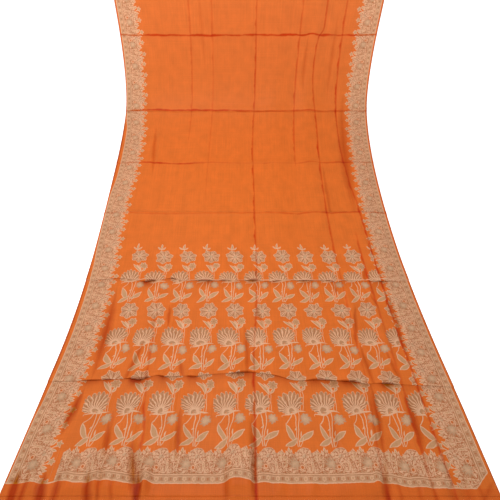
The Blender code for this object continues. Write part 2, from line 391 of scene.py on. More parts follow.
INKS = {
    # depth in mm, colour, cover
    "leaf": ((0.0, CREAM, 0.0), (0.4, CREAM, 1.0), (1.6, CREAM, 1.0), (3.2, LEAF, 1.0)),
    "flower": ((0.0, CREAM, 0.0), (0.4, CREAM, 1.0), (1.3, CREAM, 1.0), (1.8, TAN, 1.0)),
    "petal": ((0.0, CREAM, 0.0), (0.4, CREAM, 1.0), (1.2, CREAM, 1.0), (1.8, OLIVE, 1.0)),
    "line": ((0.0, CREAM, 0.0), (0.4, CREAM, 1.0)),
    "shade": ((0.0, DUSK, 0.0), (0.8, DUSK, 0.75)),
    "pale": ((0.0, PALE, 0.0), (1.8, PALE, 0.8), (4.0, BLOOM, 1.0)),
    "speck": ((0.0, GLOW, 0.0), (0.5, GLOW, 0.85)),
    "ground": ((0.0, CREAM, 0.0), (0.4, CREAM, 0.9), (1.2, CREAM, 0.9), (1.8, TAN, 1.0)),
    "band": ((0.0, BAND, 0.0), (1.0, BAND, 1.0)),
    # pale line on the second fold's crest: painted highlight, and wear
    "worn_highlight": ((0.0, CREAM, 0.0), (1.0, CREAM, 0.8)),
    "gap": ((0.0, EARTH, 0.0), (0.8, EARTH, 0.75)),
    "curl": ((0.0, CREAM, 0.0), (0.5, CREAM, 0.65)),
    "mesh": ((0.0, BLOOM, 0.0), (0.6, BLOOM, 0.55)),
}

# Painted shade: creases, valleys and the shade under a lip multiply the colour below them by a tint
CREASE_SHADE_TINT = (0.76, 0.23, 0.0, 1.0)
CREASE_HALF = 6.2
FAINTEST_CREASE = 0.35
VALLEY_SHADE_TINT = (0.61, 0.28, 0.0, 1.0)
VALLEY_WIDTH = 0.9
VALLEY_INK = 0.11
POCKET_TINT = (0.50, 0.22, 0.0, 1.0)
POCKET_SHADE = 62.0
LIP_SHADE = 0.30
LIP_SOFTNESS = 0.14
LIP_POINTS = 57
LIP_SHADOW = (
    # length past the last spot that shows, in mm; share of the shade
    (-34.0, 0.00), (-22.0, 0.16), (-12.0, 0.45), (-5.0, 0.80), (-1.0, 1.00), (5.0, 1.00),
    (8.0, 0.00), (12.0, 0.00),
)
# half width in mm of the pale line on the second fold's crest: painted highlight, and wear
WORN_HIGHLIGHT_HALF = 2.2

# Creases wander and change in strength, and drawn lines shake, sway and fray: the size in mm of the
# blots of noise that move them, and how far they go
FINE = 2.0               # the detail of the finer kinds of noise
WANDER_SIZE = (45.0, 45.0)
WANDER = 10.0
WANDER_STRENGTH = (1.6, 0.1)
SHAKE_SIZE = 9.0
SHAKE = 2.4
SWAY_SIZE = 60.0
SWAY = 20.0
FRAY_SIZE = 14.0
FRAY = 9.0

# Uneven threads: the width and height of three kinds of streak in mm, and how much each changes
# the tone. The bump has their relief and a coarser one
WARP_SIZE = (2.6, 150.0)
WARP_TONE = 0.22
WEFT_SIZE = (190.0, 2.2)
WEFT_TONE = 0.16
MOTTLE_SIZE = (38.0, 52.0)
MOTTLE_TONE = 0.27
TONE_MIDDLE = 1.0 - (WARP_TONE + WEFT_TONE + MOTTLE_TONE) / 2
BUMP_SIZE = (9.0, 14.0)
BUMP_SHARE = 1.5
BUMP_STRENGTH = 0.35
BUMP_DISTANCE = 0.0012
SILK_ROUGHNESS = 0.5
SILK_SPECULAR = 0.12

# The thread's turns, and the pole's growth lines and pores: size in mm, share and tint
TWIST_SIZE = (0.4, 0.4)
TWIST_TINT = (0.6, 0.5, 0.4, 1.0)
GROWTH_SIZE = (260.0, 9.0)
GROWTH_LINES = 7.0
GROWTH_SHARE = 0.45
GROWTH_TINT = (0.62, 0.48, 0.36, 1.0)
PORE_SIZE = (26.0, 0.9)
PORE_SHARE = 0.5
PORE_TINT = (0.5, 0.4, 0.3, 1.0)

# The studio's floor and how far it lies below the cloth, and how bright it and the world are
WHITE = (1.0, 1.0, 1.0, 1.0)
FLOOR_WHITE = (0.92, 0.92, 0.92, 1.0)
FLOOR_SIZE = 24.0
FLOOR_DROP = 0.0005
FLOOR_GLOW = 0.9
WORLD_GLOW = 0.45


def smooth(x):
    """A soft step, level at both ends: x squared times (3 - 2x), with x held from 0 to 1."""
    x = np.clip(x, 0.0, 1.0)
    return x * x * (3.0 - 2.0 * x)


def hump(x, half_width):
    """A raised cosine, 1 at 0 and 0 from half_width on."""
    return 0.5 + 0.5 * np.cos(math.pi * np.clip(x / half_width, -1.0, 1.0))


def plateau(x, foot, brow, far_brow, far_foot):
    """A flat top of 1 between two brows, with a soft slope down to each foot."""
    return smooth((x - foot) / (brow - foot)) * smooth((far_foot - x) / (far_foot - far_brow))


def tuck_hidden(depth):
    """The cloth that one tuck takes up."""
    return 2.0 * depth + 2.0 * TUCK_TURN


def tuck_starts():
    """For each tuck, the cloth length at which its back turn begins, and its depth."""
    starts = []
    hidden = 0.0
    for lip, depth in TUCKS:
        back = lip + depth + TUCK_RADIUS + WALL / 2
        starts.append((back + hidden, depth))
        hidden += tuck_hidden(depth)
    return starts, hidden


STARTS, HIDDEN = tuck_starts()


def path_knots():
    """Places along the path and the slope there: the front's arcs, plumb up, the pole, plumb down."""
    places = [0.0]
    slopes = [0.0]
    for length, slope in FRONT_PATH:
        places.append(places[-1] + length)
        slopes.append(slope)
    steps = np.arange(0.0, FRONT_LENGTH, PATH_STEP) + PATH_STEP / 2
    rise = np.sum(np.sin(np.radians(np.interp(steps, places, slopes)))) * PATH_STEP
    rail_start = FRONT_LENGTH + RAIL_HEIGHT - WALL / 2 - rise
    places += [rail_start, rail_start + math.pi * BEND_RADIUS, CLOTH_LENGTH - HIDDEN]
    slopes += [90.0, -90.0, -90.0]
    return places, slopes


PLACES, SLOPES = path_knots()
RAIL_START, RAIL_END, PATH_END = PLACES[-3:]


def build_path():
    """The path as dense tables: place, slope, y and z, with the pole's axis at y = z = 0."""
    count = int(round(PATH_END / PATH_STEP))
    place = np.linspace(0.0, PATH_END, count + 1)
    middle = (place[1:] + place[:-1]) / 2
    step = place[1] - place[0]
    slope = np.radians(np.interp(middle, PLACES, SLOPES))
    y = np.concatenate(([0.0], np.cumsum(np.cos(slope)) * step))
    z = np.concatenate(([0.0], np.cumsum(np.sin(slope)) * step))
    y += -BEND_RADIUS - np.interp(RAIL_START, place, y)
    z += -np.interp(RAIL_START, place, z)
    return place, np.radians(np.interp(place, PLACES, SLOPES)), y, z


PATH_PLACE, PATH_SLOPE, PATH_Y, PATH_Z = build_path()


def fold_turn(length):
    """At a cloth length: place along the path, turn within a tuck, and lift off the path.

    A tuck turns by half a circle, runs back for its depth, and turns by half a circle again.
    Each turn lifts the cloth by twice the tuck's radius, and behind the tuck it settles down.
    """
    place = np.array(length, dtype=float)
    turn = np.zeros_like(place)
    lift = np.zeros_like(place)
    for start, depth in STARTS:
        run = np.clip(length - start, 0.0, 2.0 * TUCK_TURN + depth)
        first = np.clip(run, 0.0, TUCK_TURN) / TUCK_RADIUS
        back = np.clip(run - TUCK_TURN, 0.0, depth)
        second = np.clip(run - TUCK_TURN - depth, 0.0, TUCK_TURN) / TUCK_RADIUS
        place += TUCK_RADIUS * (np.sin(first) - np.sin(second)) - back - run
        turn += first - second
        lift += TUCK_RADIUS * (2.0 - np.cos(first) - np.cos(second))
        settled = smooth((length - start - 2.0 * TUCK_TURN - depth) / TUCK_SETTLE)
        lift -= 4.0 * TUCK_RADIUS * settled
    return place, turn, lift


def lip_shift(across, place):
    """How far the cloth near the tucks is drawn forward, so that their lips aren't straight.

    The first follows a line through points. Each has humps across as well, and all of it fades
    softly away from the lip.
    """
    near = smooth(1.0 - np.abs(place - TUCKS[0][0]) / LIP_REACH)
    shift = -np.interp(across, *LIP_LINE.T) * near
    for tuck, waves in zip(TUCKS, LIP_WAVES):
        near = smooth(1.0 - np.abs(place - tuck[0]) / WAVE_REACH)
        for middle, half, forward in waves:
            shift -= forward * hump(across - middle, half) * near
    return shift


def drift(place):
    """How far the cloth's middle lies to the side, one soft swing along the path."""
    return -DRIFT * hump(place - DRIFT_MIDDLE, DRIFT_REACH)


def unfolded():
    """Places along the path and the cloth's length there, which jumps by each tuck's share."""
    places = [0.0]
    lengths = [0.0]
    hidden = 0.0
    for lip, depth in TUCKS:
        places += [lip - TUCK_SEAM, lip + TUCK_SEAM]
        lengths += [lip - TUCK_SEAM + hidden, lip + TUCK_SEAM + hidden + tuck_hidden(depth)]
        hidden += tuck_hidden(depth)
    return places + [PATH_END], lengths + [PATH_END + hidden]


UNFOLD_PLACE, UNFOLD_LENGTH = unfolded()


def drawn_length(across, length, place):
    """The length at which the print was drawn: the lip and the near end aren't square to it."""
    shift = END_SLANT * smooth((across - END_TURN) / END_SOFTNESS)
    for middle, half, further in END_WAVES:
        shift -= further * hump(across - middle, half)
    return length + lip_shift(across, place) + shift * smooth(1.0 - length / END_REACH)


def crease_dip(run, aside, line):
    """How deep the cloth dips along a crease, 1 at its bottom."""
    places, middles, strengths = line.T
    off = np.abs(aside - np.interp(run, places, middles)) / NOTCH_HALF
    return np.interp(run, places, strengths) * np.clip(1.0 - off, 0.0, 1.0) ** 2


def relief(across, place):
    """The height over the smooth path: folds and ridges, less creases and valleys.

    A fold is a plateau across times one along, a long ridge a hump across that fades at both ends,
    and a storage ridge a small roof. A valley is a hump across whose middle runs from its start to
    its end with a bow, 4 bow x (1 - x) with x from 0 to 1, and it tapers at both ends.
    """
    height = np.zeros_like(place)
    for *feet, aslant, rise in FOLDS:
        near_brow = feet[5]
        beside = across - aslant * (place - near_brow)
        height += rise * plateau(beside, *feet[:4]) * plateau(place, *feet[4:])
    for middle, half, rise, start, end in LONG_RIDGES:
        fade = smooth((place - start) / RIDGE_FADE) * smooth((end - place) / RIDGE_FADE)
        height += rise * hump(across - middle, half) * fade
    for middle, rise in CROSS_CREASES:
        height += rise * np.clip(1.0 - np.abs(place - middle) / CROSS_HALF, 0.0, 1.0)
    length = drawn_length(across, np.interp(place, UNFOLD_PLACE, UNFOLD_LENGTH), place)
    height -= CREASE_NOTCH * sum(crease_dip(across, length, line) for line in CREASES_ACROSS)
    height -= CREASE_NOTCH * sum(crease_dip(length, across, line) for line in CREASES_ALONG)
    for x, start, end_x, end, half, bow, deep in VALLEYS:
        along = (length - start) / (end - start)
        middle = x + (end_x - x) * along + 4.0 * bow * along * (1.0 - along)
        taper = smooth(VALLEY_TAPER * along) * smooth(VALLEY_TAPER * (1.0 - along))
        height -= deep * taper * hump(across - middle, half)
    height = np.maximum(height * smooth(place / HEM_RISE), 0.0)
    off_rail = np.maximum(RAIL_START - place, place - RAIL_END)
    return height * smooth(off_rail / RAIL_CALM)


def puff(across, length):
    """How far the upper layer of each tuck stands up behind its lip: a sum of humps across.

    Each rises over the tuck's own turn and falls softly behind it.
    """
    height = np.zeros_like(length)
    for (start, depth), puffs in zip(STARTS, LIP_PUFFS):
        past = length - start - TUCK_TURN - depth
        rising = smooth(past / TUCK_TURN) * smooth(1.0 - past / PUFF_REACH)
        for middle, half, rise in puffs:
            height += rise * hump(across - middle, half) * rising
    return height


def cloth_points(across, length, outward):
    """Points of the cloth, moved out from its middle surface by outward.

    The path gives y and z. The lift, the relief and the puffs are added square to its slope, and
    outward is added square to the slope and the tuck's turn together.
    """
    place, turn, lift = fold_turn(length)
    slope = np.interp(place, PATH_PLACE, PATH_SLOPE)
    raised = lift * FOLD_PRESS + relief(across, place) + puff(across, length)
    y = np.interp(place, PATH_PLACE, PATH_Y) - np.sin(slope) * raised
    z = np.interp(place, PATH_PLACE, PATH_Z) + np.cos(slope) * raised
    y += lip_shift(across, place)
    y -= np.sin(slope + turn) * outward
    z += np.cos(slope + turn) * outward
    return np.stack((across + drift(place), y, z), axis=-1)


def settled_length(place):
    """The cloth length at a place along the path that lies outside the tucks."""
    length = place
    for lip, depth in TUCKS:
        if place > lip:
            length += tuck_hidden(depth)
    return length


def crease_end(place):
    """The cloth length a little past a crease, where one stretch ends."""
    return settled_length(place) + CREASE_SEAM


def grid_faces(number):
    """The four-cornered faces of one or more grids of point numbers, facing up, as one array."""
    near, far = number[..., :-1, :], number[..., 1:, :]
    corners = (near[..., :-1], near[..., 1:], far[..., 1:], far[..., :-1])
    return np.stack([corner.ravel() for corner in corners], axis=1)


def tube_faces(shape):
    """The faces of one or more grids of points that close round their last direction."""
    number = np.arange(math.prod(shape)).reshape(shape)
    return grid_faces(np.concatenate((number, number[..., :1]), axis=-1))


def mesh_from_arrays(name, points, faces):
    """A smooth mesh from an array of points and an array of four-cornered faces."""
    mesh = bpy.data.meshes.new(name)
    mesh.vertices.add(len(points))
    mesh.vertices.foreach_set("co", points.astype(np.float32).ravel())
    mesh.loops.add(faces.size)
    mesh.loops.foreach_set("vertex_index", faces.astype(np.int32).ravel())
    mesh.polygons.add(len(faces))
    mesh.polygons.foreach_set("loop_start", np.arange(0, faces.size, 4, dtype=np.int32))
    mesh.update(calc_edges=True)
    mesh.shade_smooth()
    mesh.validate()
    return mesh


def add_object(name, data):
    """A new object in the scene for a mesh, a lamp or a camera."""
    thing = bpy.data.objects.new(name, data)
    bpy.context.scene.collection.objects.link(thing)
    return thing


def add_piece(name, mesh, material, node):
    """A piece of one material that rides on the body and replaces a node of the solids."""
    mesh.materials.append(material)
    piece = add_object(name, mesh)
    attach(piece, "root")
    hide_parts(node)
    return piece


def shell(name, rows, column_step, over):
    """A closed shell: an upper and a lower grid of the cloth's points, joined round their edge.

    The upper grid lies over above the cloth's middle surface, the lower one half a wall below it.
    """
    across, length = np.meshgrid(even_rows(-HALF_WIDTH, HALF_WIDTH, column_step), rows)
    upper = cloth_points(across, length, over)
    lower = cloth_points(across, length, -WALL / 2)
    points = np.concatenate((upper.reshape(-1, 3), lower.reshape(-1, 3)))
    number = np.arange(across.size).reshape(across.shape)
    below = grid_faces(number + number.size)[:, ::-1]
    rim = np.concatenate((number[0, :-1], number[:-1, -1], number[-1, :0:-1], number[:0:-1, 0]))
    onward = np.roll(rim, -1)
    side = np.stack((rim, rim + number.size, onward + number.size, onward), axis=1)
    faces = np.concatenate((grid_faces(number), below, side))
    mesh = mesh_from_arrays(name, points, faces)
    corner = np.empty(len(mesh.loops), dtype=np.int32)
    mesh.loops.foreach_get("vertex_index", corner)
    drawn = drawn_length(across, length, fold_turn(length)[0])
    flat = np.tile(np.stack((across.ravel(), drawn.ravel()), axis=1), (2, 1))
    reverse = mesh.attributes.new("reverse", "FLOAT", "POINT")
    reverse.data.foreach_set("value", np.repeat((0.0, 1.0), across.size).astype(np.float32))
    layout = mesh.uv_layers.new(name="cloth")
    layout.data.foreach_set("uv", flat[corner].astype(np.float32).ravel())
    return mesh


def even_rows(start, end, step):
    """Rows from start to end at even steps no longer than step."""
    return np.linspace(start, end, max(2, math.ceil((end - start) / step) + 1))


def tuck_rows():
    """Rows round every turn of both tucks."""
    rows = []
    for start, depth in STARTS:
        first = np.linspace(start, start + TUCK_TURN, TURN_STEPS + 1)
        rows += [first, first + TUCK_TURN + depth]
    return np.concatenate(rows)


def rows_of(start, end, step):
    """Rows of one stretch, with the tucks' rows that lie in it."""
    rows = even_rows(start, end, step)
    kept = tuck_rows()
    kept = kept[(kept > start) & (kept < end)]
    if kept.size:
        near = np.abs(rows[:, None] - kept).min(axis=1) < TUCK_TURN / TURN_STEPS
        near[[0, -1]] = False
        rows = rows[~near]
    return np.unique(np.concatenate((rows, kept)))


def linear(colour):
    """A colour as a screen shows it, 0 to 255, as the opaque linear one that a material takes."""
    share = np.array(colour) / 255
    light = np.where(share < 0.04045, share / 12.92, ((share + 0.055) / 1.055) ** 2.4)
    return (*(float(part) for part in light), 1.0)


def by_math(operation):
    """A method that works out a new number from a wire and the values given with it."""
    def method(self, *values):
        return self.math(operation, self, *values)
    return method


class Wire:
    """A number that a material's nodes work out. Arithmetic on wires adds the nodes for it."""

    def __init__(self, tree, socket):
        self.tree = tree
        self.socket = socket

    def plug(self, node, key, value):
        """Gives an input of a node a wire, or else a plain number or vector."""
        if isinstance(value, Wire):
            self.tree.links.new(value.socket, node.inputs[key])
        else:
            node.inputs[key].default_value = value

    def add_node(self, kind, *values, **settings):
        """A new node with its settings, and its first inputs given the values."""
        node = self.tree.nodes.new("ShaderNode" + kind)
        for name, setting in settings.items():
            setattr(node, name, setting)
        for index, value in enumerate(values):
            self.plug(node, index, value)
        return node

    def math(self, operation, *values):
        """What a math node makes of the values."""
        return Wire(self.tree, self.add_node("Math", *values, operation=operation).outputs[0])

    __add__ = by_math("ADD")
    __sub__ = by_math("SUBTRACT")
    __mul__ = by_math("MULTIPLY")
    __rmul__ = __mul__
    __mod__ = by_math("FLOORED_MODULO")
    __abs__ = by_math("ABSOLUTE")
    least = by_math("MINIMUM")
    most = by_math("MAXIMUM")
    fraction = by_math("FRACT")
    sine = by_math("SINE")
    angle = by_math("ARCTAN2")
    times_plus = by_math("MULTIPLY_ADD")

    def __rsub__(self, other):
        return self.math("SUBTRACT", other, self)

    def clamped(self):
        """This number, held from 0 to 1."""
        node = self.add_node("Math", self, 0.0, operation="ADD", use_clamp=True)
        return Wire(self.tree, node.outputs[0])

    def grouped(self, group, *values):
        """Feeds a node group with this wire and more values, and gives its output."""
        node = self.add_node("Group", self, *values, node_tree=group)
        return Wire(self.tree, node.outputs[0])

    def graph(self, table, scale=1.0):
        """Reads a curve through a table's points, whose first column is stretched to 0 to 1."""
        places, values = np.array([row[:2] for row in table], dtype=float).T
        places = (places - places[0]) / (places[-1] - places[0])
        low = float(values.min())
        span = max(float(values.max()) - low, 1e-6)
        node = self.add_node("FloatCurve")
        points = node.mapping.curves[0].points
        for index, place in enumerate(zip(places, (values - low) / span)):
            point = points[index] if index < 2 else points.new(0.5, 0.5)
            point.location = place
        node.mapping.update()
        self.plug(node, 1, self)
        return Wire(self.tree, node.outputs[0]).times_plus(span * scale, low * scale)


class Spot(Wire):
    """A place on the flat cloth in mm: a vector wire (right, up, 1)."""

    def vector_math(self, operation, *values):
        """What a vector math node makes of the values."""
        node = self.add_node("VectorMath", *values, operation=operation)
        return Spot(self.tree, node.outputs["Vector"])

    def right(self, times=1.0, plus=0.0):
        """How far right the spot lies, times a factor, plus a shift."""
        return self.dot((times, 0.0, plus))

    def up(self, times=1.0, plus=0.0):
        """How far up the spot lies, times a factor, plus a shift."""
        return self.dot((0.0, times, plus))

    def dot(self, other):
        """The sum of this spot's three numbers, each times the other's."""
        node = self.add_node("VectorMath", self, other, operation="DOT_PRODUCT")
        return Wire(self.tree, node.outputs["Value"])

    def distance(self, centre):
        """How far the spot lies from a centre, in mm."""
        node = self.add_node("VectorMath", self, (*centre, 1.0), operation="DISTANCE")
        return Wire(self.tree, node.outputs["Value"])

    def moved(self, shift, size):
        """The spot shifted by up to size mm to each side by a vector wire of random values."""
        place = self.vector_math("MULTIPLY_ADD", shift, (size, size, 0.0), self)
        return self.vector_math("ADD", place, (-size / 2, -size / 2, 0.0))

    def noise(self, right, up, detail=1.0, output="Fac"):
        """Soft random values round a half, in blots of the given size in mm."""
        node = self.add_node("TexNoise")
        self.plug(node, "Vector", self.vector_math("MULTIPLY", self, (1.0 / right, 1.0 / up, 1.0)))
        self.plug(node, "Scale", 1.0)
        self.plug(node, "Detail", detail)
        return Wire(self.tree, node.outputs[output])

    def jitter(self, size):
        """Two soft random values at once, in blots of one size, for moved."""
        return self.noise(size, size, output="Color")

    def rings(self, size):
        """The distance from the nearest of many scattered points, as a share of their spacing."""
        node = self.add_node("TexVoronoi", self, voronoi_dimensions="2D")
        self.plug(node, "Scale", 1.0 / size)
        return Wire(self.tree, node.outputs["Distance"])

    def joined(self, right, up):
        """The spot that two numbers give."""
        return Spot(self.tree, self.add_node("CombineXYZ", right, up, 1.0).outputs[0])


class Canvas(Wire):
    """The colour printed so far."""

    def mixed(self, share, colour, blend="MIX"):
        """This colour with a share of another one over it."""
        node = self.add_node("Mix", data_type="RGBA", blend_type=blend)
        self.plug(node, 0, share)
        self.plug(node, 6, self)
        self.plug(node, 7, colour)
        return Canvas(self.tree, node.outputs[2])

    def darkened(self, share, tint):
        """This colour multiplied by a tint, as far as the share says."""
        return self.mixed(share, tint, "MULTIPLY")

    def painted(self, depth, ink):
        """An ink laid over this colour wherever the depth is above 0, in tones by depth."""
        return Canvas(self.tree, depth.grouped(ink_group(ink), self).socket)


def node_group(name, inputs, output, fill):
    """A node group by its name, filled when it is first asked for and shared from then on.

    Inputs are names and socket kinds. The fill takes their wires and gives the group's output.
    """
    group = bpy.data.node_groups.get(name)
    if group:
        return group
    group = bpy.data.node_groups.new(name, "ShaderNodeTree")
    for label, kind in inputs:
        group.interface.new_socket(label, in_out="INPUT", socket_type="NodeSocket" + kind)
    group.interface.new_socket("Out", in_out="OUTPUT", socket_type="NodeSocket" + output)
    given = group.nodes.new("NodeGroupInput")
    wires = [Spot(group, socket) for socket in given.outputs[:len(inputs)]]
    result = fill(*wires)
    group.links.new(result.socket, group.nodes.new("NodeGroupOutput").inputs[0])
    return group


def ink_group(ink):
    """A group that lays one ink over a colour: the ink's tones and cover by depth."""
    def fill(depth, cloth):
        ramp = depth.add_node("ValToRGB", depth)
        stops = ramp.color_ramp.elements
        for index, (deep, colour, cover) in enumerate(INKS[ink]):
            stop = stops[index] if index < 2 else stops.new(deep / INK_REACH)
            stop.position = deep / INK_REACH
            stop.color = (*linear(colour)[:3], cover)
        tone, cover = (Wire(depth.tree, output) for output in ramp.outputs)
        return Canvas(depth.tree, cloth.socket).mixed(cover, tone)

    return node_group(ink, (("Depth", "Float"), ("Cloth", "Color")), "Color", fill)


def leaf_group():
    """A group for lens: it takes three readings of the spot, and bends and blunts the leaf."""
    def fill(spot, gone, left, aside, bend, cap):
        width = spot.dot(gone) * spot.dot(left)
        off = abs(width.times_plus(bend, spot.dot(aside)))
        return width.least(cap) - off

    inputs = (("Spot", "Vector"), ("Gone", "Vector"), ("Left", "Vector"), ("Aside", "Vector"),
              ("Bend", "Float"), ("Cap", "Float"))
    return node_group("leaf shape", inputs, "Float", fill)


def crease_group(name, table):
    """A group: how deep a spot lies in a crease whose middle and strength are graphs of the run."""
    start = table[0][0] * MM
    span = table[-1][0] * MM - start

    def fill(run, aside, wander):
        share = run.times_plus(1.0 / span, -start / span).clamped()
        middle = share.graph(table, MM)
        strength = share.graph([row[::2] for row in table])
        off = abs(aside - middle) * (1.0 / CREASE_HALF)
        return strength * wander - off * strength.most(FAINTEST_CREASE)

    inputs = (("Run", "Float"), ("Aside", "Float"), ("Wander", "Float"))
    return node_group(name, inputs, "Float", fill)


def lens(spot, start, end, half, bow=0.0, blunt=1.0, reach=INK_REACH):
    """How deep a spot lies in a leaf from start to end, in units of the reach.

    With x from 0 to 1 along it, a leaf's half width is 4 half x (1 - x), and its middle line bows
    to the left by 4 bow x (1 - x). A blunt one widens faster and is cut off at half: a stem.
    """
    right, up = end[0] - start[0], end[1] - start[1]
    square = right ** 2 + up ** 2
    unit = math.sqrt(square) * reach
    begin = (start[0] * right + start[1] * up) / square
    swell = 4.0 * half * blunt / reach
    gone = (swell * right / square, swell * up / square, -swell * begin)
    left = (-right / square, -up / square, 1.0 + begin)
    aside = (-up / unit, right / unit, (start[0] * up - start[1] * right) / unit)
    cap = half / reach if blunt > 1.0 else NO_CAP
    return spot.grouped(leaf_group(), gone, left, aside, -bow / (half * blunt), cap)


def disc(far, radius):
    """How deep a spot at a distance lies in a round dot."""
    return far.times_plus(-1.0 / INK_REACH, radius / INK_REACH)


def star(spot, centre, count, spin=0.0):
    """Round a centre: the distance from it, and a wave from 0 on each petal to 1 between petals."""
    right = spot.right(plus=-centre[0])
    up = spot.up(plus=-centre[1])
    sector = up.angle(right).times_plus(count / (2.0 * math.pi), spin)
    return spot.distance(centre), abs(sector.fraction() - 0.5) * 2.0


def petals(far, wave, radius, notch):
    """How deep a spot lies in petals whose tips reach the radius and part by the notch."""
    return (wave.times_plus(-notch, radius) - far) * (1.0 / INK_REACH)


def ribs(far, wave, count, half):
    """How deep a spot lies in the lines between petals."""
    return veins(far, 1.0 - wave, count, half)


def veins(far, wave, count, half):
    """How deep a spot lies in the line down the middle of each petal."""
    return (wave * far).times_plus(-math.pi / count / INK_REACH, half / INK_REACH)


def paint_rows(canvas, spot, rows):
    """Leaves, and lines where a row says how blunt."""
    for x, y, end_x, end_y, half, bow, *blunt in rows:
        depth = lens(spot, (x, y), (end_x, end_y), half, bow, *blunt)
        canvas = canvas.painted(depth, "line" if blunt else "leaf")
    return canvas


# A plant stands on (0, 0). Its two long stems are graphs of the height, in mm
STEM_HEIGHT = 94.0
STEM_LEFT = ((0, -2.6), (24, -4.7), (47, -3.7), (70, -3.5), (84, -6.4), (94, -10.5))
STEM_RIGHT = ((0, 2.6), (17, 1.1), (44, 2.7), (78, 6.5), (94, 6.5))
STEM_HALF = 0.33

PLANT = (
    # start, end, half width, bow, and for a line how blunt it is
    (-3, 12, -31, 58, 7.8, 3.4),
    (-1, 26, -39, 0, 7.6, 3.2),
    (0, 13, 38, 40, 7.6, -1.5),
    (2.8, 0, 15, 24, 1.0, -1.5, 6.0),
    (9, 24, 11, 43, 2.0, 0.6, 1.0),
    (-10, 43, -1, 50, 1.8, 0.0, 1.0),
    (-13, 88, -31, 57, 1.2, 4.0, 6.0),
    (14, 92, 14.5, 168, 0.9, 0.5, 8.0),
    (21, 92, 21, 152, 0.9, 0.0, 8.0),
    (18, 141, -12, 178, 5.5, -3.0),
    (19, 150, 3, 176, 3.0, -2.0),
)

# The large flower: petals fan out from its base, each as long as the graph of its angle says
FAN_COUNT = 26
FAN_BASE = (-11.0, 92.0)
FAN_NOTCH = 0.18
FAN_SPIN = 0.2
FAN_REACH = (
    # degrees from straight right, length of the petals there
    (-20, 14), (10, 20), (30, 34), (61, 51), (80, 57), (98, 58), (126, 55), (155, 42), (174, 35),
    (200, 22), (230, 8),
)

CALYX = (
    (15, 93, -41, 82, 2.6, 3.0, 1.0),
    (30, 89, -14, 91, 2.4, -1.5, 1.0),
    (-38, 76, -33, 83, 1.0, 2.5, 4.0),
)

BUD = (
    (19, 146, 15, 166, 2.6, 1.0, 1.0),
    (19, 146, 34, 164, 4.2, -2.0),
)
BUD_CENTRE = (28.0, 171.0)
BUD_RADIUS = 15.5
BUD_NOTCH = 4.5
BUD_PETALS = 7

# A soft flower has a centre and a radius, a round one petals and a notch between them as well
SMALL_FLOWER = ((24.0, 70.0), 16.5)
TOP_FLOWER = ((8.0, 215.0), 32.5, 7, 0.24)

TOP_BUDS = (
    (-1, 234, -4, 252, 1.0, 0.5, 5.0),
    (-5, 249, -22, 262, 3.6, 1.5),
    (-4, 249, 11, 260, 3.6, -1.5),
    (-5, 246, -5, 276, 4.4, 0.0),
)


def paint_stems(canvas, spot):
    """The two long stems: lines whose middle is a graph of the height."""
    height = spot.up(1.0 / STEM_HEIGHT)
    level = 8.0 * height * (1.0 - height)
    for stem in (STEM_LEFT, STEM_RIGHT):
        aside = spot.right(1.0 / INK_REACH) - height.graph(stem, 1.0 / INK_REACH)
        canvas = canvas.painted((STEM_HALF - abs(aside)).least(level), "line")
    return canvas


def paint_fan(canvas, spot):
    """The large flower: notched petals, a shade along the middle of each and a line between two."""
    upward = spot.up(plus=-FAN_BASE[1])
    leftward = spot.right(-1.0, FAN_BASE[0])
    turn = leftward.angle(upward)
    sector = turn.times_plus(FAN_COUNT / (2.0 * math.pi), FAN_SPIN)
    wave = abs(sector.fraction() - 0.5) * 2.0
    far = spot.distance(FAN_BASE)
    first, last = FAN_REACH[0][0], FAN_REACH[-1][0]
    share = turn.times_plus(180.0 / math.pi / (last - first), (90.0 - first) / (last - first))
    reach = share.graph(FAN_REACH)
    body = (reach * (wave * wave).times_plus(-FAN_NOTCH, 1.0) - far) * (1.0 / INK_REACH)
    canvas = canvas.painted(body, "petal")
    outer = body.least(far.times_plus(1.0 / INK_REACH, -2.0))
    canvas = canvas.painted(veins(far, wave, FAN_COUNT, 1.2).least(outer + -0.7), "shade")
    return canvas.painted(ribs(far, wave, FAN_COUNT, 1.6).least(outer), "line")


def paint_fluff(canvas, spot, centre, radius):
    """A soft round flower with a frayed edge."""
    count = 9
    far, wave = star(spot, centre, count)
    body = disc(far, radius) - wave * 1.5
    body = body * 0.6 + spot.noise(6.0, 6.0) * 1.8 - 0.7
    canvas = canvas.painted(body, "pale")
    return canvas.painted(ribs(far, wave, count, 0.7).least(body), "curl")


def paint_round_flower(canvas, spot, centre, radius, count, notch):
    """A round flower: a vein down each petal, one at each side of it, and a pale heart."""
    far, wave = star(spot, centre, count, 0.25)
    body = petals(far, wave, radius, notch * radius)
    canvas = canvas.painted(body, "flower")
    canvas = canvas.painted(ribs(far, wave, count, 1.1).least(body + -0.4), "shade")
    half_wave = abs(wave + -0.5) * 2.0
    canvas = canvas.painted(veins(far, half_wave, 2 * count, 0.9).least(body), "line")
    canvas = canvas.painted(veins(far, wave, count, 1.2).least(body), "line")
    return canvas.painted(disc(far, 7.0), "pale")


def paint_bud(canvas, spot):
    """A bud: its stalk and leaf, and petals round its centre."""
    canvas = paint_rows(canvas, spot, BUD)
    far, wave = star(spot, BUD_CENTRE, BUD_PETALS, 0.1)
    body = petals(far, wave, BUD_RADIUS, BUD_NOTCH)
    canvas = canvas.painted(body, "leaf")
    return canvas.painted(veins(far, wave, BUD_PETALS, 0.8).least(body + -0.5), "shade")


def paint_cell(canvas, spot, fray):
    """One plant: stems, leaves, the large flower, a small one, a bud, and a round one on top."""
    canvas = paint_stems(canvas, spot)
    canvas = paint_rows(canvas, spot, PLANT)
    canvas = paint_fan(canvas, spot.moved(fray, FRAY))
    canvas = paint_rows(canvas, spot, CALYX)
    canvas = paint_fluff(canvas, spot, *SMALL_FLOWER)
    canvas = paint_bud(canvas, spot)
    return paint_round_flower(canvas, spot, *TOP_FLOWER)


